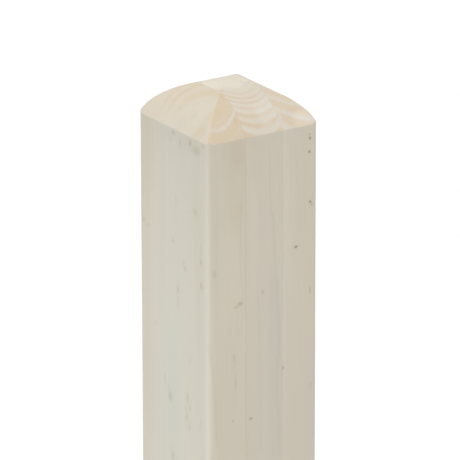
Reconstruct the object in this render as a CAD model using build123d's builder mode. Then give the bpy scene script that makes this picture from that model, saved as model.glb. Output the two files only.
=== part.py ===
from build123d import *
import os
from math import sqrt

# Square planed post, glued up from three upright boards, with rounded long
# corners and a head rounded over on all four sides.
# Millimetres, +Z up. The origin is the centre of the sawn bottom end.
# X runs across the three boards, Y runs along the glue planes.

# --- driving dimensions ---
side = 90.0  # width over the planed faces, both ways
length = 1000.0  # overall, bottom end to the tip of the head
board_count = 3
arris_radius = 6.0  # rounding of the four long outer corners
crown_radius = 52.0  # radius of the arc that rounds each side of the head over

# --- derived dimensions ---
half = side / 2
board = side / board_count  # thickness of one board
glue_x = board / 2  # the two glue planes stand at -glue_x and +glue_x
crown_height = crown_radius - sqrt(crown_radius**2 - half**2)
rim_z = length - crown_height  # where the planed faces end and the head starts
margin = 5.0  # how far the cutting profiles run past the post

print(
    f"board {board:.2f}  crown height {crown_height:.2f}  rim at {rim_z:.2f}  rim slope from level "
    f"{(half / sqrt(crown_radius**2 - half**2)):.3f}"
)

# --- left board: two rounded outer corners at -X, flat glue face at -glue_x ---
with BuildPart() as lamella_left:
    with BuildSketch(Plane.XY) as left_section:
        with Locations((-half + board / 2, 0)):
            Rectangle(board, side)
        fillet(left_section.vertices().group_by(Axis.X)[0], radius=arris_radius)
    extrude(amount=length)
    # head, rounded over towards the -X and +X faces
    with BuildSketch(Plane.XZ) as left_arch_x:
        with BuildLine():
            Polyline((half, rim_z), (half, -margin), (-half, -margin), (-half, rim_z))
            ThreePointArc((-half, rim_z), (0, length), (half, rim_z))
        make_face()
    extrude(amount=half + margin, both=True, mode=Mode.INTERSECT)
    # head, rounded over towards the -Y and +Y faces
    with BuildSketch(Plane.YZ) as left_arch_y:
        with BuildLine():
            Polyline((half, rim_z), (half, -margin), (-half, -margin), (-half, rim_z))
            ThreePointArc((-half, rim_z), (0, length), (half, rim_z))
        make_face()
    extrude(amount=half + margin, both=True, mode=Mode.INTERSECT)
lamella_left.part.label = "lamella_left"

# --- middle board: a flat glue face on each side, no rounded corner ---
with BuildPart() as lamella_middle:
    with BuildSketch(Plane.XY):
        Rectangle(board, side)
    extrude(amount=length)
    with BuildSketch(Plane.XZ) as middle_arch_x:
        with BuildLine():
            Polyline((half, rim_z), (half, -margin), (-half, -margin), (-half, rim_z))
            ThreePointArc((-half, rim_z), (0, length), (half, rim_z))
        make_face()
    extrude(amount=half + margin, both=True, mode=Mode.INTERSECT)
    with BuildSketch(Plane.YZ) as middle_arch_y:
        with BuildLine():
            Polyline((half, rim_z), (half, -margin), (-half, -margin), (-half, rim_z))
            ThreePointArc((-half, rim_z), (0, length), (half, rim_z))
        make_face()
    extrude(amount=half + margin, both=True, mode=Mode.INTERSECT)
lamella_middle.part.label = "lamella_middle"

# --- right board: two rounded outer corners at +X, flat glue face at +glue_x ---
with BuildPart() as lamella_right:
    with BuildSketch(Plane.XY) as right_section:
        with Locations((half - board / 2, 0)):
            Rectangle(board, side)
        fillet(right_section.vertices().group_by(Axis.X)[-1], radius=arris_radius)
    extrude(amount=length)
    with BuildSketch(Plane.XZ) as right_arch_x:
        with BuildLine():
            Polyline((half, rim_z), (half, -margin), (-half, -margin), (-half, rim_z))
            ThreePointArc((-half, rim_z), (0, length), (half, rim_z))
        make_face()
    extrude(amount=half + margin, both=True, mode=Mode.INTERSECT)
    with BuildSketch(Plane.YZ) as right_arch_y:
        with BuildLine():
            Polyline((half, rim_z), (half, -margin), (-half, -margin), (-half, rim_z))
            ThreePointArc((-half, rim_z), (0, length), (half, rim_z))
        make_face()
    extrude(amount=half + margin, both=True, mode=Mode.INTERSECT)
lamella_right.part.label = "lamella_right"

os.makedirs("parts", exist_ok=True)
export_step(lamella_left.part, "parts/lamella_left.step")
export_step(lamella_middle.part, "parts/lamella_middle.step")
export_step(lamella_right.part, "parts/lamella_right.step")
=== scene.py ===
import math

import bmesh
import bpy
import numpy as np
from mathutils import Matrix, Vector


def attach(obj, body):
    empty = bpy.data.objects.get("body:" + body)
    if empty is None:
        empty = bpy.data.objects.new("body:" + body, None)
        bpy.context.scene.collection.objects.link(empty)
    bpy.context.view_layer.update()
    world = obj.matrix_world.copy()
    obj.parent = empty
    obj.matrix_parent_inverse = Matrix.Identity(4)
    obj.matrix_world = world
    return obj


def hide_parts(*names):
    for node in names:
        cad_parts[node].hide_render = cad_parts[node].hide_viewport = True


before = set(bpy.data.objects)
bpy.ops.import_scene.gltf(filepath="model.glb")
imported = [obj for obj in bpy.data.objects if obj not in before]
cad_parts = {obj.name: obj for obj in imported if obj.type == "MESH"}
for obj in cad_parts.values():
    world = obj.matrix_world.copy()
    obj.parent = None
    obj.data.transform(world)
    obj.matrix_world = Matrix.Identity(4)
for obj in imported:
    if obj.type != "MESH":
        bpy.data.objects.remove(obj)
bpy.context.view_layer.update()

# The post in millimetres, as the CAD has it. Meshes are written in metres.
MM = 0.001
HALF = 45.0          # half the section
LENGTH = 1000.0
ARRIS = 6.0          # rounding of the long outer corners
CROWN = 52.0         # radius of the head's arcs
DROP = math.sqrt(CROWN**2 - HALF**2)
RIM = LENGTH - (CROWN - DROP)
GLUE = 15.0          # glue planes at -15 and +15
CELL = 0.75          # grid of the head and the bottom end
EASE_RIM = 0.35      # eased edge between the head and the planed faces
EASE_GLUE = 0.13     # eased edge on each side of a glue line
EASE_END = 0.3       # eased edge of the sawn end
FLAT = HALF - ARRIS
WORN = 0.45          # how far the head's corners are worn towards a level rim


# ---------------------------------------------------------------- the wood's figure
# Each board: its heart in the section, how the heart drifts with height, and
# how much late wood there is at each distance from the heart, in mm.
BOARDS = {
    "left": {
        "x": (-HALF, -GLUE), "rounded": (-1,), "heart": (-34.0, -15.0), "drift": (0.004, -0.006),
        "late": [
            (0, 0.3), (9, 0.4), (11.6, 0.75), (12.8, 1.0), (18.6, 0.97), (19.8, 0.75), (20.5, 0.55), (20.9, 0.5),
            (21.4, 0.62), (22.0, 0.9), (22.7, 0.75), (23.2, 0.4), (23.7, 0.05), (24.2, 0.0), (24.9, 0.0), (25.4, 0.35),
            (26.0, 0.95), (26.6, 1.0), (29.2, 0.97), (30.2, 0.62), (30.9, 0.62), (31.9, 0.95), (34.6, 0.9), (38, 0.75), (39, 0.1),
            (42.5, 0.7), (43.5, 0.1), (47, 0.7), (48, 0.1), (52, 0.65), (53, 0.1), (57, 0.1),
        ],
        # the facet towards -X, behind the heart and in front of it
        "late_behind": [
            (0, 0.1), (4, 0.12), (6, 0.0), (8.2, 0.1), (10, 0.2), (11.3, 0.12), (12.3, 0.2), (13.3, 0.62),
            (15.0, 0.85), (17.4, 0.92), (18.8, 0.8), (19.8, 0.5), (20.6, 0.6), (21.6, 0.36), (22.8, 0.26), (23.8, 0.3),
            (24.6, 0.08), (25.8, 0.1), (27.0, 0.6), (28.0, 0.92), (29.6, 0.98), (30.6, 0.7), (31.8, 0.25), (33.6, 0.1),
            (35.2, 0.5), (36.8, 0.85), (38.2, 0.5), (40.2, 0.1), (42.2, 0.35), (46.8, 0.0), (50.5, 0.3), (57, 0.1),
        ],
        "late_before": [
            (0, 0.1), (2, 0.14), (6.2, 0.14), (8.5, 0.24), (11.3, 0.36), (12.9, 0.62), (17.0, 0.62), (18.6, 0.42),
            (19.6, 0.3), (21.2, 0.22), (22, 0.1), (24.5, 0.12), (25.4, 0.36), (28, 0.42), (32, 0.3), (64, 0.3),
        ],
    },
    "middle": {
        "x": (-GLUE, GLUE), "rounded": (), "heart": (1.5, -3.0), "drift": (-0.005, 0.003),
        "late": [
            (0, 0.0), (13, 0.02), (15.2, 0.16), (16.2, 0.52), (17.2, 0.36), (18.6, 0.05), (20.0, 0.12), (20.8, 0.82),
            (21.6, 0.8), (22.4, 0.12), (23.7, 0.06), (24.6, 0.78), (25.4, 0.74), (26.2, 0.1), (27.7, 0.12), (28.6, 0.66),
            (29.5, 0.6), (30.4, 0.12), (32.0, 0.04), (32.9, 0.85), (34.2, 0.9), (35.1, 0.34), (36.7, 0.22), (37.5, 0.45),
            (38.1, 1.0), (38.9, 1.0), (39.8, 0.3), (41.1, 0.0), (41.8, 0.1), (42.8, 0.9), (46, 0.95), (49, 0.8),
        ],
    },
    "right": {
        "x": (GLUE, HALF), "rounded": (1,), "heart": (42.0, 5.0), "drift": (0.003, 0.005),
        "late": [
            (0, 0.1), (6, 0.6), (7, 0.15), (12, 0.7), (13, 0.15), (18, 0.7), (19, 0.2), (24, 0.75),
            (25, 0.2), (31, 0.3), (34.0, 0.3), (35.2, 0.85), (37.3, 0.95), (38.4, 0.5), (39.4, 0.1), (40.7, 0.02),
            (41.4, 0.3), (42.2, 0.95), (45.2, 0.95), (45.9, 0.6), (46.6, 0.3), (47.0, 0.0), (48.1, 0.02), (48.7, 0.55),
            (49.2, 0.98), (50.8, 0.95), (51.9, 0.86), (52.9, 0.42), (53.8, 0.06), (55.2, 0.08), (56.4, 0.4), (58.5, 0.5),
        ],
    },
}

# Pin knots on the two faces the photograph shows: face, place across, height, size across and along in mm, darkness.
KNOTS = {
    "left": [
        ("x", -0.8, 971.2, 2.8, 1.6, 0.5), ("x", -9.5, 966.3, 1.3, 3.0, 0.42), ("x", -22.1, 969.6, 1.7, 2.4, 0.72),
        ("x", -30.8, 966.0, 4.6, 3.6, 0.22), ("x", -38.3, 971.5, 1.6, 1.8, 0.36), ("x", -4.1, 923.8, 1.2, 5.0, 0.15),
        ("x", -28.0, 922.1, 2.8, 1.8, 0.28), ("x", 37.2, 897.9, 1.6, 2.2, 0.34), ("x", 32.5, 895.0, 3.2, 2.0, 0.16),
        ("x", 0.0, 892.9, 1.6, 1.8, 0.34), ("x", -15.1, 877.1, 1.9, 2.4, 0.4), ("x", -13.4, 881.0, 1.3, 2.6, 0.26),
        ("x", -35.3, 888.0, 1.2, 2.2, 0.5), ("x", -35.4, 897.0, 0.9, 7.0, 0.2), ("x", -35.2, 870.9, 1.8, 3.0, 0.3),
        ("x", -6.0, 859.1, 1.7, 3.8, 0.36), ("x", -5.9, 849.8, 1.5, 5.6, 0.22), ("x", 22.6, 826.0, 1.1, 2.4, 0.2),
        ("x", -20.9, 811.8, 1.3, 1.6, 0.2), ("x", 11.4, 788.9, 1.1, 4.8, 0.27), ("x", 4.6, 777.6, 2.6, 4.4, 0.46),
        ("x", 7.0, 783.6, 1.5, 3.4, 0.24), ("x", -17.6, 783.6, 1.6, 4.6, 0.36), ("x", -20.2, 776.6, 1.3, 3.0, 0.34),
        ("x", -15.6, 774.6, 1.6, 2.6, 0.26), ("x", -16.6, 769.4, 1.8, 3.0, 0.42), ("x", -19.6, 762.4, 1.5, 4.0, 0.32),
        ("x", -34.5, 769.9, 0.9, 5.4, 0.26), ("x", 1.6, 734.0, 2.0, 4.0, 0.45), ("x", 2.8, 740.5, 1.4, 3.2, 0.22),
        ("y", -19.6, 855.9, 2.4, 1.7, 0.44), ("y", -22.4, 854.0, 2.4, 1.4, 0.28), ("y", -24.7, 817.4, 1.1, 4.2, 0.24),
        ("y", -23.5, 798.9, 0.8, 6.0, 0.2), ("y", -25.6, 771.3, 1.0, 0.9, 0.34), ("y", -40.2, 881.0, 1.7, 3.2, 0.2),
    ],
    "middle": [
        ("y", -1.4, 860.8, 1.2, 1.8, 0.32), ("y", -10.8, 769.8, 1.7, 1.2, 0.52),
    ],
    "right": [
        ("y", 37.4, 964.5, 1.2, 1.2, 0.85), ("y", 36.9, 967.3, 0.8, 0.8, 0.5), ("y", 36.9, 954.8, 1.2, 1.2, 0.78),
        ("y", 37.7, 918.6, 1.1, 1.2, 0.85), ("y", 39.1, 916.2, 0.8, 1.2, 0.45), ("y", 26.0, 888.1, 1.6, 1.2, 0.86),
        ("y", 15.5, 801.6, 0.8, 1.6, 0.66), ("y", 37.7, 854.3, 0.8, 3.4, 0.3), ("y", 38.6, 784.0, 1.5, 3.0, 0.13),
    ],
}


def ramp_value(stops, r):
    return np.interp(r, [s[0] for s in stops], [s[1] for s in stops])


def wander(a, b, c):
    """A smooth, repeatable unevenness of about -1 to 1."""
    return (
        np.sin(0.061 * a + 0.9 + 1.3 * np.sin(0.043 * b)) * 0.5
        + np.sin(0.113 * b - 0.4 + 1.1 * np.sin(0.071 * c)) * 0.3
        + np.sin(0.029 * c + 0.171 * a + 2.0) * 0.2
    )


# ---------------------------------------------------------------- meshes
def crown_z(x, y):
    """Height of the head. Its four corners, over the rounded arrises, are worn down a little towards the rim."""
    ax, ay = np.abs(x), np.abs(y)
    t = np.maximum(ax, ay)
    over = FLAT + np.hypot(np.maximum(ax - FLAT, 0), np.maximum(ay - FLAT, 0))
    t = np.where((ax > FLAT) & (ay > FLAT), t + WORN * (over - t), t)
    return RIM + np.sqrt(CROWN**2 - np.minimum(t, HALF) ** 2) - DROP


def section(x0, x1, rounded):
    """Points and faces of a board's cross-section, with edges along the head's hips."""
    keys, points, faces = {}, [], []

    def at(x, y):
        k = (round(x * 1e4), round(y * 1e4))
        if k not in keys:
            keys[k] = len(points)
            points.append((x, y))
        return keys[k]

    n, corner = round(HALF / CELL), round(FLAT / CELL)
    for i in range(round(x0 / CELL), round(x1 / CELL)):
        for j in range(-n, n):
            cx, cy = i + 0.5, j + 0.5
            if (1 if cx > 0 else -1) in rounded and abs(cx) > corner and abs(cy) > corner:
                continue
            a, b = at(i * CELL, j * CELL), at((i + 1) * CELL, j * CELL)
            c, d = at((i + 1) * CELL, (j + 1) * CELL), at(i * CELL, (j + 1) * CELL)
            if abs(cx) != abs(cy):
                faces.append((a, b, c, d))
            elif cx * cy > 0:
                faces += [(a, b, c), (a, c, d)]
            else:
                faces += [(a, b, d), (b, c, d)]
    steps, rings = 16, round(ARRIS / CELL)
    for sx in rounded:
        for sy in (-1, 1):

            def spoke(k, s):
                angle = math.pi / 2 * s / steps
                return at(sx * (FLAT + k * CELL * math.cos(angle)), sy * (FLAT + k * CELL * math.sin(angle)))

            for s in range(steps):
                cells = [(spoke(0, 0), spoke(1, s), spoke(1, s + 1))]
                cells += [(spoke(k, s), spoke(k + 1, s), spoke(k + 1, s + 1), spoke(k, s + 1)) for k in range(1, rings)]
                faces += [c if sx * sy > 0 else c[::-1] for c in cells]
    return points, faces


def outline(faces):
    """The section's outline as a loop of point numbers, counter-clockwise from above."""
    edges = set()
    for f in faces:
        edges.update((f[i], f[(i + 1) % len(f)]) for i in range(len(f)))
    follow = {a: b for a, b in edges if (b, a) not in edges}
    start = min(follow)
    loop, here = [start], follow[start]
    while here != start:
        loop.append(here)
        here = follow[here]
    return loop


def heights():
    """Heights of the rows down the faces, below the rows that follow the rim."""
    levels = list(np.arange(970.0, 735.0, -1.25))
    return levels + list(np.linspace(735.0, EASE_END, 148))


def board_mesh(name, spec):
    x0, x1 = spec["x"]
    points, flat_faces = section(x0, x1, spec["rounded"])
    loop = outline(flat_faces)
    glue_sides = [x for x in (x0, x1) if abs(x) < HALF - 1]
    xy = np.array(points)

    def on_arc(x, y):
        return abs(x) > FLAT + 1e-6 and abs(y) > FLAT + 1e-6

    # the head's and the end's edge points stand a little inside the true outline
    inset = xy.copy()
    inset_end = xy.copy()
    for v in loop:
        x, y = points[v]
        for out, rim, in ((inset, EASE_RIM), (inset_end, EASE_END)):
            if on_arc(x, y) and not any(abs(x - g) < 1e-6 for g in glue_sides):
                cx, cy = math.copysign(FLAT, x), math.copysign(FLAT, y)
                out[v] = (x - (x - cx) / ARRIS * rim, y - (y - cy) / ARRIS * rim)
                continue
            if abs(x - x0) < 1e-6:
                out[v][0] += EASE_GLUE if x0 in glue_sides else rim
            if abs(x - x1) < 1e-6:
                out[v][0] -= EASE_GLUE if x1 in glue_sides else rim
            if abs(abs(y) - HALF) < 1e-6:
                out[v][1] -= math.copysign(rim, y)

    verts, faces, kinds, sharp = [], [], [], []

    def add(co):
        base = len(verts)
        verts.extend(map(tuple, co))
        return base

    # head
    late = ramp_value(spec["late"], np.hypot(inset[:, 0] - spec["heart"][0], inset[:, 1] - spec["heart"][1]))
    t = np.maximum(np.abs(inset[:, 0]), np.abs(inset[:, 1]))
    fade = np.clip((HALF - EASE_RIM - t) / 1.2, 0, 1)
    near_glue = np.min([np.abs(np.abs(inset[:, 0]) - GLUE), np.full(len(inset), 9.0)], axis=0)
    fade = fade * np.clip(near_glue / 1.0, 0.0, 1)
    relief = (0.075 * (1 - late) + 0.02 * (1 + wander(inset[:, 0] * 9, inset[:, 1] * 9, inset[:, 0] * 5))) * fade
    top = add(np.column_stack([inset, crown_z(inset[:, 0], inset[:, 1]) - relief]))
    for f in flat_faces:
        faces.append(tuple(top + v for v in f))
        kinds.append(1)
    for f in flat_faces:
        for a, b in zip(f, f[1:] + f[:1]):
            if a < b and all(abs(abs(points[v][0]) - abs(points[v][1])) < 1e-3 and abs(points[v][0]) > 2.0 for v in (a, b)):
                sharp.append((top + a, top + b))
    # sawn end: faint kerf marks, cut into the end
    kerf = 0.05 * (1 + np.sin(1.9 * (xy[:, 1] + 0.11 * xy[:, 0]) + 0.8 * np.sin(0.31 * xy[:, 1]))) * 0.5
    kerf = kerf + 0.03 * (1 + wander(xy[:, 0] * 6, xy[:, 1] * 6, xy[:, 0]))
    kerf = kerf * np.clip((HALF - EASE_END - np.maximum(np.abs(xy[:, 0]), np.abs(xy[:, 1]))) / 1.2, 0, 1) * np.clip(near_glue, 0, 1)
    foot = add(np.column_stack([inset_end, kerf]))
    for f in flat_faces:
        faces.append(tuple(foot + v for v in f[::-1]))
        kinds.append(2)

    # the loop of columns down the sides: (head point, x, y, easing, out direction, on glue plane)
    columns = []
    for i, v in enumerate(loop):
        x, y = points[v]
        side = next((g for g in glue_sides if abs(x - g) < 1e-6), None)
        if side is not None and abs(abs(y) - HALF) < 1e-6:
            inwards = -1 if side == x1 else 1
            on_glue = (v, side, y - math.copysign(EASE_GLUE, y), EASE_GLUE, (0.0, 0.0), True)
            on_face = (v, side + inwards * EASE_GLUE, y, EASE_RIM, (0.0, 0.0), False)
            before = points[loop[i - 1]]
            columns += [on_face, on_glue] if abs(abs(before[1]) - HALF) < 1e-6 and abs(before[0] - x) > 1e-6 else [on_glue, on_face]
        elif side is not None:
            columns.append((v, x, y, EASE_GLUE, (0.0, 0.0), True))
        elif on_arc(x, y):
            cx, cy = math.copysign(FLAT, x), math.copysign(FLAT, y)
            columns.append((v, x, y, EASE_RIM, ((x - cx) / ARRIS, (y - cy) / ARRIS), False))
        elif abs(abs(y) - HALF) < 1e-6:
            columns.append((v, x, y, EASE_RIM, (0.0, math.copysign(1.0, y)), False))
        else:
            columns.append((v, x, y, EASE_RIM, (math.copysign(1.0, x), 0.0), False))
    count = len(columns)
    levels = heights()

    # rows that ease the rim: a small arc from the head to the face, then the first row of the face
    rim_rows = [[top + c[0] for c in columns]]
    head_rim = np.array([verts[i] for i in rim_rows[0]])
    edge = np.array([(c[1], c[2], float(crown_z(c[1], c[2]))) for c in columns])
    start = edge - np.array([(0, 0, c[3]) for c in columns])
    for s in (0.3, 0.65, 1.0):
        row = (1 - s) ** 2 * head_rim + 2 * s * (1 - s) * edge + s * s * start
        base = add(row)
        rim_rows.append([base + k for k in range(count)])
    foot_rows = [[foot + c[0] for c in columns]]
    foot_rim = np.array([verts[i] for i in foot_rows[0]])
    end_edge = np.array([(c[1], c[2], 0.0) for c in columns])
    end_start = np.array([(c[1], c[2], EASE_END if not c[5] else EASE_GLUE) for c in columns])
    for s in (0.5, 1.0):
        row = (1 - s) ** 2 * foot_rim + 2 * s * (1 - s) * end_edge + s * s * end_start
        base = add(row)
        foot_rows.append([base + k for k in range(count)])

    def strip(upper, lower, kind, closed=True, keep=None):
        for k in range(count if closed else count - 1):
            m = (k + 1) % count
            if keep is not None and not keep(k, m):
                continue
            quad = []
            for v in (upper[k], lower[k], lower[m], upper[m]):
                if v not in quad:
                    quad.append(v)
            if len(quad) > 2:
                faces.append(tuple(quad))
                kinds.append(kind)

    strip(rim_rows[0], rim_rows[1], 1)
    strip(rim_rows[1], rim_rows[2], 1)
    strip(rim_rows[2], rim_rows[3], 0)
    strip(foot_rows[0], foot_rows[1], 2)
    strip(foot_rows[1], foot_rows[2], 0)

    # the faces, with rows between; the glue planes are single flat faces
    wall = [k for k in range(count) if not columns[k][5] or not (columns[k - 1][5] and columns[(k + 1) % count][5])]
    in_wall = set(wall)
    face_rows = [rim_rows[-1]]
    first = start[:, 2]
    for step in (0.25, 0.5, 0.75):
        face_rows.append((None, first + (levels[0] - first) * step))
    for z in levels[:-1]:
        face_rows.append((None, np.full(count, z)))
    made = [rim_rows[-1]]
    for _, z in face_rows[1:]:
        row = np.array([(c[1], c[2]) for c in columns])
        out = np.array([c[4] for c in columns])
        depth = face_relief(name, row[:, 0], row[:, 1], z, out)
        placed = np.column_stack([row - out * depth[:, None], z])
        base = add(placed[wall])
        made.append({k: base + n for n, k in enumerate(wall)})
    made.append(foot_rows[-1])

    def joined(k, m):
        return k in in_wall and m in in_wall and not (columns[k][5] and columns[m][5])

    for upper, lower in zip(made, made[1:]):
        for k in range(count):
            m = (k + 1) % count
            if joined(k, m):
                faces.append((upper[k], lower[k], lower[m], upper[m]))
                kinds.append(0)
    for side in glue_sides:
        span = [k for k in range(count) if columns[k][5] and abs(columns[k][1] - side) < 1e-6]
        # put the run in loop order, starting after the gap
        run = span
        for n, k in enumerate(span):
            if (k - 1) % count not in span:
                run = span[n:] + span[:n]
        top_run = [rim_rows[-1][k] for k in run]
        foot_run = [foot_rows[-1][k] for k in run]
        down_last = [row[run[-1]] for row in made[1:-1]]
        down_first = [row[run[0]] for row in made[1:-1]]
        faces.append(tuple(top_run + down_last + foot_run[::-1] + down_first[::-1]))
        kinds.append(0)

    mesh = bpy.data.meshes.new(name)
    mesh.from_pydata([(x * MM, y * MM, z * MM) for x, y, z in verts], [], faces)
    mesh.polygons.foreach_set("material_index", kinds)
    bm = bmesh.new()
    bm.from_mesh(mesh)
    bmesh.ops.recalc_face_normals(bm, faces=bm.faces)
    used = {v.index for f in bm.faces for v in f.verts}
    bmesh.ops.delete(bm, geom=[v for v in bm.verts if v.index not in used], context="VERTS")
    bm.to_mesh(mesh)
    bm.free()
    mesh.polygons.foreach_set("use_smooth", [True] * len(mesh.polygons))
    mesh.set_sharp_from_angle(angle=math.radians(32))
    wanted = {frozenset(e) for e in sharp}
    for e in mesh.edges:
        if frozenset(e.vertices) in wanted:
            e.use_edge_sharp = True
    mesh.update()
    return mesh


def face_relief(name, x, y, z, out):
    """How far a planed face stands inside its true plane: faint unevenness and a dimple at each of the darker knots."""
    flat = np.minimum(np.abs(np.abs(x) - GLUE), 4.0) / 4.0 * np.clip((RIM - z) / 6.0, 0, 1) * np.clip(z / 6.0, 0, 1)
    depth = 0.03 * (1 + wander(x * 3 + y * 3, z * 0.35, x * 2 - y * 2)) * flat
    for face, u, h, a, b, dark in KNOTS[name]:
        near = np.abs(z - h) < 4
        if dark < 0.4 or not near.any():
            continue
        across, on = (y, out[:, 0] < -0.9) if face == "x" else (x, out[:, 1] < -0.9)
        d = np.hypot((across - u) / max(a, 0.9), (z - h) / max(b, 1.2))
        depth = depth + np.where(on & near, 0.16 * dark * np.clip(1 - d * d / 1.4, 0, 1), 0)
    return depth


def lay_out(mesh, spec):
    """A UV map for baking: the head gets the most room, and the long faces are folded into four lengths."""
    x0 = spec["x"][0]
    faces, loops = len(mesh.polygons), len(mesh.loops)

    def read(items, key, n, width=1):
        found = np.empty(n * width, np.int32 if key in ("loop_total", "material_index", "vertex_index") else np.float32)
        items.foreach_get(key, found)
        return found.reshape(-1, width) if width > 1 else found

    x, y, z = (read(mesh.vertices, "co", len(mesh.vertices), 3)[read(mesh.loops, "vertex_index", loops)] / MM).T.astype(float)
    owner = np.repeat(np.arange(faces), read(mesh.polygons, "loop_total", faces))
    kind = read(mesh.polygons, "material_index", faces)[owner]
    middle = (read(mesh.polygons, "center", faces, 3) / MM)[owner]
    across = np.abs(read(mesh.polygons, "normal", faces, 3)[owner, 0]) > 0.9
    on_glue = (kind == 0) & across & (np.abs(np.abs(middle[:, 0]) - GLUE) < 0.2)

    def arc(c):
        return CROWN * np.arcsin(np.clip(c / CROWN, -1, 1))

    # how far along the outline a point of the long faces lies, and how long that outline is
    if spec["rounded"]:
        out = x * spec["rounded"][0]
        bend = ARRIS * math.pi / 2
        front, side, back = FLAT - GLUE, FLAT - GLUE + bend, FLAT - GLUE + bend + 2 * FLAT
        along = np.select(
            [(out <= FLAT) & (y < 0), (y < -FLAT), (np.abs(y) <= FLAT), (out > FLAT)],
            [out - GLUE, front + ARRIS * np.arctan2(out - FLAT, -FLAT - y), side + y + FLAT, back + ARRIS * np.arctan2(y - FLAT, out - FLAT)],
            back + bend + FLAT - out,
        )
        whole = back + bend + FLAT - GLUE
    else:
        along, whole = x - x0 + np.where(y > 0, 36.0, 0.0), 66.0
    left = 8.0 + (arc(spec["x"][1]) - arc(x0)) * 8.0 + 12.0
    right = 1018.0 - 14.0 * sum(abs(g) < HALF - 1 for g in spec["x"])
    u = left + along * (right - 8.0 - left) / whole
    v = np.select(
        [middle[:, 2] > 735.0, middle[:, 2] > 490.1, middle[:, 2] > 245.2],
        [1016.0 - (RIM - z) * 1.78, 582.0 - (735.0 - z) * 0.76, 390.0 - (490.1 - z) * 0.76],
        198.0 - (245.2 - z) * 0.76,
    )
    u = np.where(on_glue, np.where(x > x0 + 1, 1006.0, 1006.0 - (1018.0 - right) + 14.0) + (y + HALF) / 90.0 * 11.0, u)
    v = np.where(on_glue, 6.0 + z * 1.005, v)
    u = np.where(kind == 1, 8.0 + (arc(x) - arc(x0)) * 8.0, np.where(kind == 2, 10.0 + (y + HALF) * 2.5, u))
    v = np.where(kind == 1, 146.0 + (arc(y) + arc(HALF)) * 8.0, np.where(kind == 2, 16.0 + (x - x0) * 3.6, v))
    layer = mesh.uv_layers.new(name="OFBake")
    layer.uv.foreach_set("vector", (np.column_stack([u, v]) / 1024.0).astype(np.float32).ravel())


# ---------------------------------------------------------------- node trees
def linear(r, g, b):
    def one(c):
        c /= 255
        return c / 12.92 if c <= 0.04045 else ((c + 0.055) / 1.055) ** 2.4

    return (one(r), one(g), one(b))


class Wire:
    """One number running through a material, with sums written as sums."""

    def __init__(self, tree, socket):
        self.tree, self.socket = tree, socket

    def __add__(self, other):
        return self.tree.math("ADD", self, other)

    __radd__ = __add__

    def __mul__(self, other):
        return self.tree.math("MULTIPLY", self, other)

    __rmul__ = __mul__

    def __sub__(self, other):
        return self.tree.math("SUBTRACT", self, other)

    def __rsub__(self, other):
        return self.tree.math("SUBTRACT", other, self)

    def __truediv__(self, other):
        return self.tree.math("DIVIDE", self, other)


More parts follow.
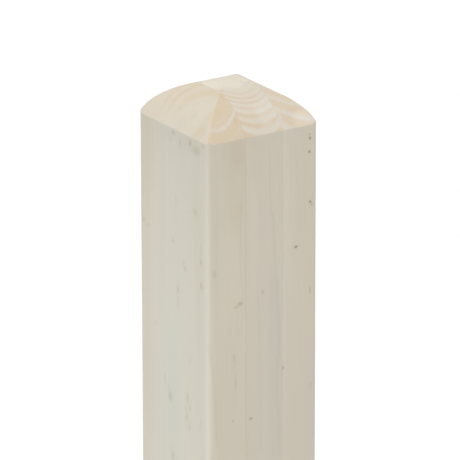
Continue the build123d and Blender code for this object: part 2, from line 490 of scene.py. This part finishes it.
class Tree:
    def __init__(self, name):
        self.material = bpy.data.materials.new(name)
        self.material.use_nodes = True
        self.tree = self.material.node_tree
        self.tree.nodes.clear()
        self.out = self.tree.nodes.new("ShaderNodeOutputMaterial")
        self.shader = self.tree.nodes.new("ShaderNodeBsdfPrincipled")
        self.tree.links.new(self.shader.outputs[0], self.out.inputs[0])
        place = self.tree.nodes.new("ShaderNodeTexCoord")
        scaled = self.tree.nodes.new("ShaderNodeVectorMath")
        scaled.operation = "SCALE"
        scaled.inputs["Scale"].default_value = 1 / MM
        self.tree.links.new(place.outputs["Object"], scaled.inputs[0])
        self.place = scaled.outputs[0]
        split = self.tree.nodes.new("ShaderNodeSeparateXYZ")
        self.tree.links.new(self.place, split.inputs[0])
        self.x, self.y, self.z = (Wire(self, s) for s in split.outputs)

    def put(self, socket, value):
        if isinstance(value, Wire):
            self.tree.links.new(value.socket, socket)
        elif isinstance(value, bpy.types.NodeSocket):
            self.tree.links.new(value, socket)
        elif value is not None:
            socket.default_value = value

    def math(self, operation, a, b=None, c=None, clamp=False):
        n = self.tree.nodes.new("ShaderNodeMath")
        n.operation, n.use_clamp = operation, clamp
        for socket, value in zip(n.inputs, (a, b, c)):
            self.put(socket, value)
        return Wire(self, n.outputs[0])

    def vector(self, x, y, z):
        n = self.tree.nodes.new("ShaderNodeCombineXYZ")
        for socket, value in zip(n.inputs, (x, y, z)):
            self.put(socket, value)
        return n.outputs[0]

    def stretched(self, sx, sy, sz, ox=0.0, oy=0.0, oz=0.0, place=None):
        """The place with each axis scaled, then moved."""
        n = self.tree.nodes.new("ShaderNodeVectorMath")
        n.operation = "MULTIPLY_ADD"
        self.put(n.inputs[0], self.place if place is None else place)
        n.inputs[1].default_value, n.inputs[2].default_value = (sx, sy, sz), (ox, oy, oz)
        return n.outputs[0]

    def length(self, vector):
        n = self.tree.nodes.new("ShaderNodeVectorMath")
        n.operation = "LENGTH"
        self.put(n.inputs[0], vector)
        return Wire(self, n.outputs["Value"])

    def noise(self, vector, scale=1.0, detail=2.0, rough=0.5, distortion=0.0):
        """Soft noise, about -1 to 1."""
        n = self.tree.nodes.new("ShaderNodeTexNoise")
        self.put(n.inputs["Vector"], vector)
        n.inputs["Scale"].default_value = scale
        n.inputs["Detail"].default_value = detail
        n.inputs["Roughness"].default_value = rough
        n.inputs["Distortion"].default_value = distortion
        return self.math("MULTIPLY_ADD", Wire(self, n.outputs["Fac"]), 4.0, -2.0)

    def fit(self, value, low, high, to_low=0.0, to_high=1.0, smooth=True):
        n = self.tree.nodes.new("ShaderNodeMapRange")
        n.interpolation_type = "SMOOTHSTEP" if smooth else "LINEAR"
        n.clamp = True
        for socket, v in zip(n.inputs, (value, low, high, to_low, to_high)):
            self.put(socket, v)
        return Wire(self, n.outputs[0])

    def ramp(self, value, stops, top):
        """value from 0 to top through linear stops of (place, amount)."""
        n = self.tree.nodes.new("ShaderNodeValToRGB")
        self.put(n.inputs[0], value * (1.0 / top))
        r = n.color_ramp
        r.interpolation = "LINEAR"
        while len(r.elements) > 1:
            r.elements.remove(r.elements[-1])
        for i, (at, amount) in enumerate(stops):
            e = r.elements[0] if i == 0 else r.elements.new(min(at / top, 1.0))
            e.position = min(at / top, 1.0)
            e.color = (amount, amount, amount, 1.0)
        return Wire(self, n.outputs[0])

    def mix(self, share, a, b):
        n = self.tree.nodes.new("ShaderNodeMix")
        n.data_type, n.blend_type, n.clamp_factor = "RGBA", "MIX", True
        self.put(n.inputs[0], share)
        for socket, v in ((n.inputs[6], a), (n.inputs[7], b)):
            self.put(socket, (*v, 1.0) if isinstance(v, tuple) else v)
        return n.outputs[2]

    def tint(self, share, colour, by):
        """colour times by, where share is 1."""
        n = self.tree.nodes.new("ShaderNodeMix")
        n.data_type, n.blend_type, n.clamp_factor = "RGBA", "MULTIPLY", True
        self.put(n.inputs[0], share)
        self.put(n.inputs[6], colour)
        self.put(n.inputs[7], (*by, 1.0))
        return n.outputs[2]

    def shade(self, colour, amount):
        """colour times a number."""
        n = self.tree.nodes.new("ShaderNodeVectorMath")
        n.operation = "SCALE"
        self.put(n.inputs[0], colour)
        self.put(n.inputs["Scale"], amount)
        return n.outputs[0]

    def patch(self, centre, size, inner=0.25, amount=1.0):
        """A soft blob: amount at its middle, 0 beyond its size, in mm along each axis."""
        n = self.stretched(*[1 / s for s in size], *[-c / s for c, s in zip(centre, size)])
        return self.fit(self.length(n), 1.0, inner, 0.0, amount)


# ---------------------------------------------------------------- materials
# Colours are the surface's own, worked back from how it looks under the scene's light.
LIT_HEAD = (1.185, 1.185, 1.185)
LIT_LEFT = (1.053, 1.053, 1.053)
LIT_FRONT = (1.013, 1.013, 1.013)


def own(rgb, lit):
    return tuple(c / l for c, l in zip(linear(*rgb), lit))


def heart_distance(t, spec, uneven=1.0, aside=(0.0, 0.0)):
    """Distance from the board's heart in mm, uneven as growth is, and its parts along X and Y."""
    (hx, hy), (dx, dy) = spec["heart"], spec["drift"]
    up = t.z - RIM
    ex = t.x - (hx + aside[0]) - up * dx
    ey = t.y - (hy + aside[1]) - up * dy
    r = t.math("SQRT", ex * ex + ey * ey)
    r = r + t.noise(t.stretched(0.045, 0.045, 0.004, 3.1, 7.7, 1.3), 1.0, 1.0) * (0.55 * uneven)
    return r + t.noise(t.stretched(0.22, 0.22, 0.012, 1.7, 2.2, 9.1), 1.0, 1.0) * (0.22 * uneven), ex, ey


def end_grain(name, spec, sawn=False):
    t = Tree(("sawn_end_" if sawn else "head_end_grain_") + name)
    r, ex, ey = heart_distance(t, spec, 1.0 if sawn else 0.55)
    if name == "right" and not sawn:
        # one band keeps its width towards the hip
        r = r - t.fit(t.x, 22.0, 29.0) * t.fit(r, 41.5, 39.0) * 1.5
    late = t.ramp(r, spec["late"], 64.0)
    hip = t.math("ABSOLUTE", t.x) - t.math("ABSOLUTE", t.y)
    side = t.fit(hip, 0.7, 1.9)
    if name == "left" and not sawn:
        # towards the glue line the dark ring is whole
        whole = t.fit(ex + ey * 0.5, 1.0, 5.0) * t.fit(r, 24.0, 23.0) * t.fit(r, 18.0, 19.5)
        late = late + (0.92 - late) * whole
        # behind the heart the rings fade out towards the outer face
        behind, bx, by = heart_distance(t, spec, 0.6, (0.8, 1.3))
        reach = t.fit(bx + behind * 0.38, 0.5, 13.0, 0.14, 1.0)
        back = t.ramp(behind, spec["late_behind"], 64.0) * reach
        before = t.ramp(r, spec["late_before"], 64.0) * t.fit(ey, -4.5, -10.5)
        lee = before + (back - before) * t.fit(ey, -4.0, 0.0)
        late = late + (lee - late) * side
    if name == "middle" and not sawn:
        inner, outer = t.fit(t.x, 5.0, 10.0, 1.0, 0.5), t.fit(t.x, -4.0, 3.0, 1.0, 0.55) + t.fit(t.x, 7.0, 10.5) * t.fit(r, 36.0, 38.0) * 0.3
        late = late * (inner + (outer - inner) * t.fit(r, 26.0, 28.0))
    if name == "right" and not sawn:
        # pale wood beside the glue line, widening towards the rim
        late = late * (1.0 - t.patch((16.2, -35.6, 980), (3.4, 2.8, 40), 0.3, 0.75)) * (1.0 - t.patch((15.5, -39.5, 980), (3.0, 6.5, 40), 0.45, 0.8))
    # grain of the cut: pores, and fine rays that run out from the heart
    pores = t.noise(t.stretched(2.6, 2.6, 0.4), 1.0, 2.0, 0.6)
    coarse = t.noise(t.stretched(0.5, 0.5, 0.1, 5.0, 1.0, 2.0), 1.0, 2.0, 0.55)
    mottle = t.noise(t.stretched(0.21, 0.21, 0.1, 2.0, 9.0, 6.0), 1.0, 1.0)
    broad = t.noise(t.stretched(0.09, 0.09, 0.05, 8.0, 3.0, 4.0), 1.0, 2.0)
    angle = t.math("ARCTAN2", ey, ex)
    rays = t.noise(t.vector(t.math("SINE", angle) * 26.0, t.math("COSINE", angle) * 26.0, r * 0.10), 1.0, 2.0, 0.6)

    # fine lines along the rings
    lines = t.noise(t.vector(t.math("SINE", angle) * 4.0, t.math("COSINE", angle) * 4.0, r * 0.95), 1.0, 2.0, 0.6)

    late = t.math("ADD", late, coarse * 0.07 + rays * 0.05 + lines * 0.09, clamp=True)
    light, peach = {
        "left": ((219.5, 210.5, 193), (218.5, 202.5, 175)),
        "middle": ((221.7, 213.9, 199.3), (216.5, 199.8, 174.2)),
        "right": ((220.6, 213.2, 198.4), (219.3, 204.5, 180.2)),
    }[name]
    colour = t.mix(late, own(light, LIT_HEAD), own(peach, LIT_HEAD))
    if name == "left" and not sawn:
        colour = t.mix(side, colour, t.mix(late, own((221.5, 213.4, 197.2), LIT_HEAD), own((221, 207, 181), LIT_HEAD)))
    if not sawn:
        if name == "middle":
            heart = t.patch((0, 4, 1000), (24, 20, 60), 0.5)
            colour = t.mix(heart, colour, own((231, 224.2, 208.5), LIT_HEAD))
            colour = t.tint(t.patch((7.5, -35.0, 982), (11, 10, 60), 0.3), colour, (1.035, 1.045, 1.07))
            colour = t.tint(t.patch((14.0, -39.5, 978), (2.6, 7, 30), 0.3), colour, (1.02, 1.025, 1.06))
            colour = t.tint(t.patch((13.2, -30.5, 988), (3.6, 8.5, 40), 0.3), colour, (1.006, 1.012, 1.04))
            # a raised fibre near the apex: a pale fleck, with its shadow painted beside it as a dark spot
            colour = t.tint(t.patch((12.0, -7.2, 999), (1.8, 2.4, 30), 0.3), colour, (0.74, 0.73, 0.72))
            colour = t.tint(t.patch((12.7, -9.9, 999), (1.8, 2.2, 30), 0.45), colour, (1.12, 1.115, 1.11))
            colour = t.tint(t.patch((7.4, -5.8, 999), (2.0, 2.4, 30), 0.3), colour, (0.905, 0.90, 0.905))
            colour = t.tint(t.patch((8.4, -8.6, 999), (1.4, 2.2, 30), 0.3), colour, (0.93, 0.925, 0.92))
            colour = t.tint(t.patch((3.6, -8.4, 999), (1.4, 0.8, 30), 0.3), colour, (1.03, 1.03, 1.03))
            colour = t.tint(t.patch((6.4, -11.6, 999), (3.2, 1.5, 30), 0.3), colour, (0.94, 0.93, 0.92))
            colour = t.tint(t.patch((-13.2, -28.5, 990), (2.6, 5.5, 40), 0.4), colour, (1.005, 1.02, 1.05))
            colour = t.tint(t.patch((9.0, 4.4, 999), (3.2, 1.0, 30), 0.3), colour, (0.95, 0.94, 0.92))
            colour = t.tint(t.patch((-13.6, -12.7, 998), (1.8, 1.6, 30), 0.2), colour, (0.93, 0.90, 0.86))
        if name == "left":
            colour = t.tint(t.patch((-36.3, -14.0, 985), (3.4, 5.5, 40), 0.1), colour, (0.95, 0.965, 0.975))
            colour = t.tint(t.patch((-42.0, -5.0, 980), (6.5, 11.0, 40), 0.2) * side, colour, (0.985, 0.992, 1.02))
            colour = t.tint(t.patch((-35.9, 4.8, 985), (2.3, 1.9, 40), 0.35), colour, (0.985, 0.955, 0.85))
            colour = t.tint(t.patch((-42.0, -31.0, 979), (5.5, 6.5, 20), 0.4) * side, colour, (0.965, 0.96, 0.958))
            colour = t.tint(t.patch((-44.4, -35.0, 975), (1.0, 1.4, 6), 0.3), colour, (1.05, 1.05, 1.05))
            colour = t.tint(t.patch((-18.3, -36.9, 985), (2.8, 2.6, 40), 0.2), colour, (0.97, 0.945, 0.90))
            colour = t.tint(t.patch((-44.0, 1.0, 977), (1.6, 9.0, 9), 0.2), colour, (1.01, 1.02, 1.045))
            # the dark junction at the glue line, and the hip to the front, paler where it is worn
            colour = t.tint(t.patch((-17.0, -17.5, 995), (1.3, 6.0, 30), 0.2), colour, (0.95, 0.925, 0.89))
            worn = t.fit(t.math("ABSOLUTE", hip - 2.7), 1.7, 0.3) * t.fit(t.y, -24.0, -31.0)
            colour = t.tint(worn * 0.7, colour, (1.0, 1.006, 1.025))
        if name == "left":
            ring = t.fit(t.math("ABSOLUTE", r - 24.3), 1.3, 0.3) * (1.0 - side)
            colour = t.tint(ring, colour, (1.012, 1.02, 1.045))
        if name == "right":
            # painted light near the right board's front rim, which also makes its tone cooler
            colour = t.tint(t.patch((36, -42.5, 978), (14, 6.2, 30), 0.5), colour, (1.09, 1.10, 1.15))
        if name != "left":
            # painted light on the far slope, seen only as a narrow edge: it is lightened where it turns away from the
            # key light
            far = t.fit(t.x - t.math("ABSOLUTE", t.y), 0.0, 3.0) * t.fit(t.x, 34.0, 24.0) * t.fit(t.x, 5.0, 19.0)
            colour = t.shade(colour, 1.0 + far * 0.13)
        glue = t.fit(t.math("ABSOLUTE", t.math("ABSOLUTE", t.x) - GLUE), 0.55, 0.1)
        colour = t.tint(glue * 0.30, colour, (0.93, 0.90, 0.86))
        colour = t.tint(t.fit(mottle, -0.8, 0.8), colour, (1.006, 0.990, 0.988))
    else:
        colour = t.shade(colour, 0.955)
        stripe = t.math("SINE", (t.y + t.x * 0.11) * 1.9 + t.math("SINE", t.y * 0.31) * 0.8)
        colour = t.shade(colour, 1.0 + stripe * 0.012)
    colour = t.shade(colour, 1.0 + pores * 0.018 + coarse * 0.016 + rays * 0.013 + lines * 0.010 + broad * 0.008)
    t.put(t.shader.inputs["Base Color"], colour)
    t.put(t.shader.inputs["Roughness"], t.math("MULTIPLY_ADD", late, -0.06, 0.74) + pores * 0.03)
    t.shader.inputs["Specular IOR Level"].default_value = 0.25
    bump = t.tree.nodes.new("ShaderNodeBump")
    bump.inputs["Strength"].default_value = 0.35
    bump.inputs["Distance"].default_value = 0.00006
    t.put(bump.inputs["Height"], pores * 0.6 + late * 0.8 + rays * 0.3)
    t.tree.links.new(bump.outputs[0], t.shader.inputs["Normal"])
    return t.material


def face_grain(name, spec):
    t = Tree("planed_wood_" + name)
    r, ex, ey = heart_distance(t, spec)
    late = t.ramp(r, spec["late"], 64.0)
    wide = t.noise(t.stretched(0.11, 0.11, 0.0035, 4.0, 8.0, 2.0), 1.0, 2.0)
    streak = t.noise(t.stretched(0.42, 0.42, 0.009, 9.0, 1.0, 5.0), 1.0, 3.0, 0.55)
    fine = t.noise(t.stretched(1.9, 1.9, 0.035, 2.0, 6.0, 3.0), 1.0, 2.0, 0.6)
    cloud = t.noise(t.stretched(0.05, 0.05, 0.022, 6.0, 2.0, 7.0), 1.0, 2.0)
    warm = t.noise(t.stretched(0.16, 0.16, 0.010, 1.0, 5.0, 9.0), 1.0, 1.0)

    # painted shade: the faces are darker towards the head, most on the left board's outer face
    near_head = t.math("POWER", math.e, (t.z - RIM) * (1 / 46.0))
    if name == "left":
        # 1 on the outer face square to X, 0 on those square to Y, turning over the arris
        around = t.fit(t.y - t.x, -3.5, 3.5)
        around = around * t.fit(t.y + t.x, 3.5, -3.5)
        colour = t.mix(around, own((202, 195.2, 179.4), LIT_FRONT), own((208.7, 206, 193.3), LIT_LEFT))
        colour = t.shade(colour, 1.0 - near_head * (around * 0.065 + 0.02))
    else:
        colour = t.mix(t.fit(cloud, -1.0, 1.0), own((201.3, 194.5, 179.8), LIT_FRONT), own((200.5, 193.6, 179.4), LIT_FRONT))
        colour = t.shade(colour, 1.0 - near_head * (0.012 if name == "middle" else 0.0))
    # a little yellower where late wood comes to the surface, greyer where it doesn't
    colour = t.tint(late * 0.5, colour, (0.988, 0.980, 0.962))
    colour = t.tint(t.fit(warm, -0.8, 1.0), colour, (1.003, 0.994, 0.985))

    if name == "left":
        # the arris takes more light than the faces: painted shade darkens it, most towards the head, so that it is no
        # paler than they are until further down
        turn = t.y - t.x
        arris = t.fit(turn, 6.5, 3.5, 0.0, 0.24) + t.fit(turn, 2.4, -1.8, 0.0, 0.74) + t.fit(turn, -2.6, -5.6, 0.0, -0.5)
        arris = arris * t.fit(turn, -9.0, -6.0) * t.fit(t.x + t.y, -80.0, -83.5)
        colour = t.shade(colour, 1.0 - arris * t.fit(t.z, 745.0, 975.0, 0.035, 0.095))
        # painted light on a thin strip where the arris turns into the front face
        colour = t.shade(colour, 1.0 + t.fit(t.math("ABSOLUTE", turn + 6.2), 2.8, 0.6, 0.0, 0.016) * t.fit(t.y, -40.0, -43.0))
        # painted highlight: the lower arris paler and bluer
        pale = t.fit(t.x + t.y, -82.0, -84.0) * t.fit(turn, 7.5, 3.5) * t.fit(turn, -3.0, 0.5)
        colour = t.tint(pale * t.fit(t.z, 860.0, 790.0), colour, (1.012, 1.016, 1.036))
        colour = t.tint(t.patch((-45, 33, 950), (6, 13, 80), 0.4), colour, (1.0, 0.998, 0.972))
        colour = t.tint(t.patch((-45, 38, 900), (6, 15, 400), 0.3), colour, (0.998, 0.958, 0.938))
        colour = t.tint(t.patch((-45, 28, 950), (6, 14, 45), 0.3), colour, (0.995, 0.982, 0.968))
        colour = t.tint(t.patch((-45, 36, 855), (6, 14, 45), 0.3), colour, (1.0, 1.012, 1.02))
        colour = t.tint(t.patch((-45, -33, 850), (6, 11, 400), 0.4), colour, (0.998, 0.986, 0.974))
        colour = t.tint(t.patch((-45, -33.5, 865), (6, 7, 80), 0.3), colour, (0.988, 0.974, 0.962))
        colour = t.tint(t.patch((-45, -2, 785), (6, 16, 70), 0.3), colour, (0.985, 1.0, 1.002))
        colour = t.tint(t.patch((-45, -2, 820), (6, 15, 110), 0.3), colour, (0.988, 1.008, 1.010))
        colour = t.tint(t.patch((-45, 6, 760), (6, 24, 95), 0.4), colour, (0.984, 1.003, 1.005))
        colour = t.tint(t.patch((-45, 30, 790), (6, 12, 60), 0.4), colour, (0.992, 0.990, 0.986))
        colour = t.tint(t.patch((-45, -24, 905), (6, 12, 40), 0.4), colour, (0.996, 0.996, 0.984))
        # patches of darker tone, and one lighter, under the rim and further down
        colour = t.tint(t.patch((-45, -24, 969), (6, 17, 9), 0.3), colour, (0.978, 0.970, 0.958))
        colour = t.tint(t.patch((-45, 2.0, 966), (4, 4.5, 3.6), 0.3), colour, (0.985, 0.962, 0.93))
        colour = t.tint(t.patch((-45, -30, 915), (6, 12, 60), 0.3), colour, (0.992, 0.988, 0.975))
        colour = t.tint(t.patch((-23, -45, 945), (12, 6, 60), 0.3), colour, (0.988, 0.980, 0.962))
        colour = t.tint(t.patch((-21.0, -45, 966), (8, 4, 14), 0.55), colour, (1.002, 0.958, 0.945))
        colour = t.tint(t.patch((-22.5, -45, 922), (6, 4, 9), 0.4), colour, (0.988, 0.966, 0.940))
        colour = t.tint(t.patch((-24.5, -45, 911), (7, 4, 6), 0.4), colour, (0.985, 0.994, 0.972))
        colour = t.tint(t.patch((-45, -28.3, 966), (4, 6, 5), 0.2), colour, (0.975, 0.950, 0.925))
        colour = t.tint(t.patch((-45, -36.4, 871), (4, 4, 4), 0.2), colour, (0.975, 0.950, 0.910))
        colour = t.tint(t.patch((-45, -29.3, 922), (4, 6, 6), 0.2), colour, (0.985, 0.968, 0.938))
        colour = t.tint(t.patch((-28, -45, 878), (12, 5, 55), 0.4), colour, (1.022, 1.022, 1.018))
        colour = t.tint(t.patch((-27, -45, 962), (13, 5, 24), 0.4), colour, (0.982, 0.978, 0.976))
    if name == "middle":
        colour = t.tint(t.patch((9.0, -45, 790), (9, 6, 110), 0.45), colour, (0.962, 0.974, 0.987))
        colour = t.tint(t.patch((7.5, -45, 845), (9, 6, 42), 0.45), colour, (0.982, 0.982, 0.99))
        colour = t.tint(t.patch((-9.5, -45, 900), (5.5, 6, 60), 0.4), colour, (1.024, 1.024, 1.018))
        colour = t.tint(t.patch((1, -45, 962), (16, 6, 45), 0.4), colour, (1.0, 0.993, 0.982))
    if name == "right":
        colour = t.tint(t.patch((16.5, -45, 880), (3.4, 6, 180), 0.5), colour, (1.03, 1.03, 1.03))
        colour = t.tint(t.patch((20.5, -45, 905), (4.5, 6, 60), 0.4), colour, (1.016, 1.016, 1.012))
        # the far arris catches some light
        colour = t.shade(colour, 1.0 + t.fit(t.x, 38.4, 41.0, 0.0, 0.06) * t.fit(t.y, -38.0, -41.0))
        colour = t.tint(t.patch((36, -45, 770), (10, 6, 50), 0.3), colour, (0.996, 0.985, 0.996))

    # grain lines on the front face: strength, width, and the heights and places across that each runs through
    lines = {
        "left": [
            (0.050, 1.6, [(830, -43.4), (820, -42.6), (811, -41.4), (794, -40.2), (775, -39.5), (758, -39.4)]),
            (0.045, 1.0, [(927, -18.9), (910, -19.2), (895, -19.5), (880, -19.3), (866, -18.0), (856, -17.2)]),
            (0.024, 1.6, [(966, -17.4), (945, -17.4), (925, -17.6)]),
            (0.024, 1.0, [(850, -21.6), (825, -23.6), (800, -23.4), (780, -24.2)]),
            (0.016, 1.2, [(880, -30.0), (840, -29.4), (800, -31.0)]),
        ],
        "middle": [
            (0.048, 1.4, [(962, 4.4), (946, 4.7), (933, 4.6), (921, 5.5), (907, 8.0)]),
            (0.036, 2.2, [(915, 7.4), (907, 8.4), (892, 8.3), (871, 10.0), (856, 10.6), (838, 11.8), (823, 12.2), (806, 11.2), (794, 10.4), (779, 10.6), (764, 12.2), (745, 12.0)]),
            (0.040, 1.1, [(862, -4.9), (841, -4.4), (826, -3.8), (805, -3.7), (785, -3.2), (765, -2.6), (745, -2.8)]),
            (0.020, 1.0, [(968, -3.4), (930, -3.0), (900, -4.2)]),
            (0.020, 0.9, [(960, 12.6), (940, 13.0), (915, 12.4)]),
        ],
        "right": [
            (0.030, 1.0, [(962, 25.2), (945, 26.6), (930, 27.6), (910, 28.0), (895, 28.4)]),
            (0.026, 1.0, [(966, 32.6), (930, 32.8), (905, 33.2)]),
            (0.016, 1.3, [(880, 28.0), (840, 29.0), (800, 30.0)]),
            (0.016, 1.0, [(960, 22.6), (930, 22.0), (880, 22.4)]),
        ],
    }[name]
    dark = None
    for depth, width, through in lines:
        top, foot = through[0][0], through[-1][0]
        stops = [((z - foot) / (top - foot), 0.5 + (u - through[0][1]) * 0.05) for z, u in reversed(through)]
        place = t.ramp((t.z - foot) * (1.0 / (top - foot)), stops, 1.0) * 20.0 + (through[0][1] - 10.0)
        line = t.fit(t.math("ABSOLUTE", t.x - place), width, 0.0, 0.0, depth)
        line = line * t.fit(t.z, foot - 8, foot + 6) * t.fit(t.z, top + 8, top - 6) * t.fit(t.y, -41.0, -43.0)
        dark = line if dark is None else dark + line
    # painted shade: the front face darker towards the bottom
    low = t.fit(t.z, 840.0, 740.0, 0.0, 0.014) * t.fit(t.y, -40.0, -44.0)
    shade = 1.0 - low + streak * 0.009 + fine * 0.006 + wide * 0.006 + cloud * 0.005 - dark
    colour = t.shade(colour, shade)

    # pin knots
    core = halo = None
    for face, u, h, a, b, strength in KNOTS[name]:
        centre, size = ((-45, u, h), (3.0, a, b)) if face == "x" else ((u, -45, h), (a, 3.0, b))
        d = t.length(t.stretched(*[1 / s for s in size], *[-c / s for c, s in zip(centre, size)]))
        one = t.fit(d, 1.4, 0.1, 0.0, strength * (0.75 if face == "x" else 1.0))
        two = t.fit(d, 3.4, 0.6, 0.0, strength)
        core = one if core is None else t.math("MAXIMUM", core, one)
        halo = two if halo is None else t.math("MAXIMUM", halo, two)
    # and small ones all over the part that the photograph doesn't show
    seen_here = t.fit(t.z, 724.0, 732.0) * t.fit(t.y, 0.0 if name != "left" else 47.0, -40.0 if name != "left" else 44.0)
    spots = t.tree.nodes.new("ShaderNodeTexVoronoi")
    spots.feature, spots.voronoi_dimensions = "F1", "3D"
    t.put(spots.inputs["Vector"], t.stretched(0.05, 0.05, 0.032, 11.3, 4.7, 2.9))
    spots.inputs["Scale"].default_value = 1.0
    spots.inputs["Randomness"].default_value = 1.0
    pick = t.fit(t.math("FRACT", Wire(t, spots.outputs["Color"]) * 7.31), 0.35, 0.37)
    free = pick * (1.0 - seen_here)
    distance = Wire(t, spots.outputs["Distance"])
    core = t.math("MAXIMUM", core, t.fit(distance, 0.060, 0.015, 0.0, 0.6) * free)
    halo = t.math("MAXIMUM", halo, t.fit(distance, 0.16, 0.04, 0.0, 0.5) * free)
    if name == "left":
        # greyer on the outer face
        colour = t.tint(halo * (0.5 - around * 0.2), colour, (0.955, 0.93, 0.89))
        colour = t.tint(core * around, colour, (0.58, 0.56, 0.54))
        colour = t.tint(core * (1.0 - around), colour, (0.50, 0.45, 0.39))
    else:
        colour = t.tint(halo * 0.5, colour, (0.955, 0.93, 0.89))
        colour = t.tint(core, colour, (0.46, 0.42, 0.37))

    # the left glue line shows as a thin darker line, the right one only as a step in tone
    glue = t.fit(t.math("ABSOLUTE", t.x + GLUE), 0.6, 0.1, 0.0, 0.4) + t.fit(t.math("ABSOLUTE", t.x - GLUE), 0.6, 0.1, 0.0, 0.1)
    colour = t.tint(glue, colour, (0.92, 0.88, 0.82))
    t.put(t.shader.inputs["Base Color"], colour)
    t.put(t.shader.inputs["Roughness"], 0.60 + streak * 0.02 + late * -0.05)
    t.shader.inputs["Specular IOR Level"].default_value = 0.3
    bump = t.tree.nodes.new("ShaderNodeBump")
    bump.inputs["Strength"].default_value = 0.3
    bump.inputs["Distance"].default_value = 0.00005
    t.put(bump.inputs["Height"], fine * 0.5 + streak * 0.5 + late * 0.6)
    t.tree.links.new(bump.outputs[0], t.shader.inputs["Normal"])
    return t.material


# ---------------------------------------------------------------- camera
# Distances in post widths from the rim's centre; the photograph is taken as 460 x 460.
WIDTH = 2 * HALF * MM


def look():
    heading, depression, distance, focal = 0.576154, 0.31925, 40.0, 5270.409
    turn, dip, roll = 0.000362, 0.021462, -0.001899
    back = Vector((math.sin(heading) * math.cos(depression), math.cos(heading) * math.cos(depression), -math.sin(depression)))
    h, p = heading + turn, depression + dip
    ahead = Vector((math.sin(h) * math.cos(p), math.cos(h) * math.cos(p), -math.sin(p)))
    right = Vector((math.cos(h), -math.sin(h), 0.0))
    up = right.cross(ahead)
    r2 = right * math.cos(roll) + up * math.sin(roll)
    u2 = -right * math.sin(roll) + up * math.cos(roll)
    data = bpy.data.cameras.new("camera")
    data.sensor_width = 36.0
    data.lens = focal / 460 * 36.0
    data.clip_start, data.clip_end = 0.1, 200.0
    cam = bpy.data.objects.new("camera", data)
    bpy.context.scene.collection.objects.link(cam)
    place = -back * distance * WIDTH + Vector((0, 0, RIM * MM))
    cam.matrix_world = Matrix(((r2.x, u2.x, -ahead.x, place.x), (r2.y, u2.y, -ahead.y, place.y), (r2.z, u2.z, -ahead.z, place.z), (0, 0, 0, 1)))
    bpy.context.scene.camera = cam


look()

# ---------------------------------------------------------------- studio
scene = bpy.context.scene
scene.view_settings.view_transform = "Standard"
scene.view_settings.look = "None"
scene.cycles.use_denoising = True

world = bpy.data.worlds.new("studio")
scene.world = world
world.use_nodes = True
sky = world.node_tree.nodes["Background"]
sky.inputs["Color"].default_value = (1.0, 1.0, 1.0, 1.0)
sky.inputs["Strength"].default_value = 0.50


def sun(name, toward, energy, angle, colour=(1, 1, 1)):
    data = bpy.data.lights.new(name, "SUN")
    data.energy, data.angle, data.color = energy, math.radians(angle), colour
    ob = bpy.data.objects.new(name, data)
    ob.rotation_mode = "QUATERNION"
    ob.rotation_quaternion = Vector(toward).to_track_quat("Z", "Y")
    scene.collection.objects.link(ob)
    return ob


sun("key", (-0.43, -0.36, 0.83), math.pi * 0.66, 40)
sun("fill", (0.60, 0.45, 0.66), math.pi * 0.15, 60)

floor_mesh = bpy.data.meshes.new("floor")
floor_mesh.from_pydata([(-60, -60, 0), (60, -60, 0), (60, 60, 0), (-60, 60, 0)], [], [(0, 1, 2, 3)])
floor = bpy.data.objects.new("floor", floor_mesh)
scene.collection.objects.link(floor)
paper = Tree("floor_paper")
paper.put(paper.shader.inputs["Base Color"], paper.mix(paper.fit(paper.noise(paper.stretched(0.01, 0.01, 0.01)), -1.0, 1.0), (0.900, 0.900, 0.900), (0.905, 0.905, 0.905)))
paper.shader.inputs["Roughness"].default_value = 0.9
paper.shader.inputs["Specular IOR Level"].default_value = 0.0
floor_mesh.materials.append(paper.material)

# ---------------------------------------------------------------- the three boards
for name, spec in BOARDS.items():
    mesh = board_mesh(name, spec)
    lay_out(mesh, spec)
    for material in (face_grain(name, spec), end_grain(name, spec), end_grain(name, spec, sawn=True)):
        mesh.materials.append(material)
    board = bpy.data.objects.new("board_" + name, mesh)
    scene.collection.objects.link(board)
    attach(board, "root")
    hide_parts("lamella_" + name)
    print("board", name, "triangles", sum(len(p.vertices) - 2 for p in mesh.polygons))
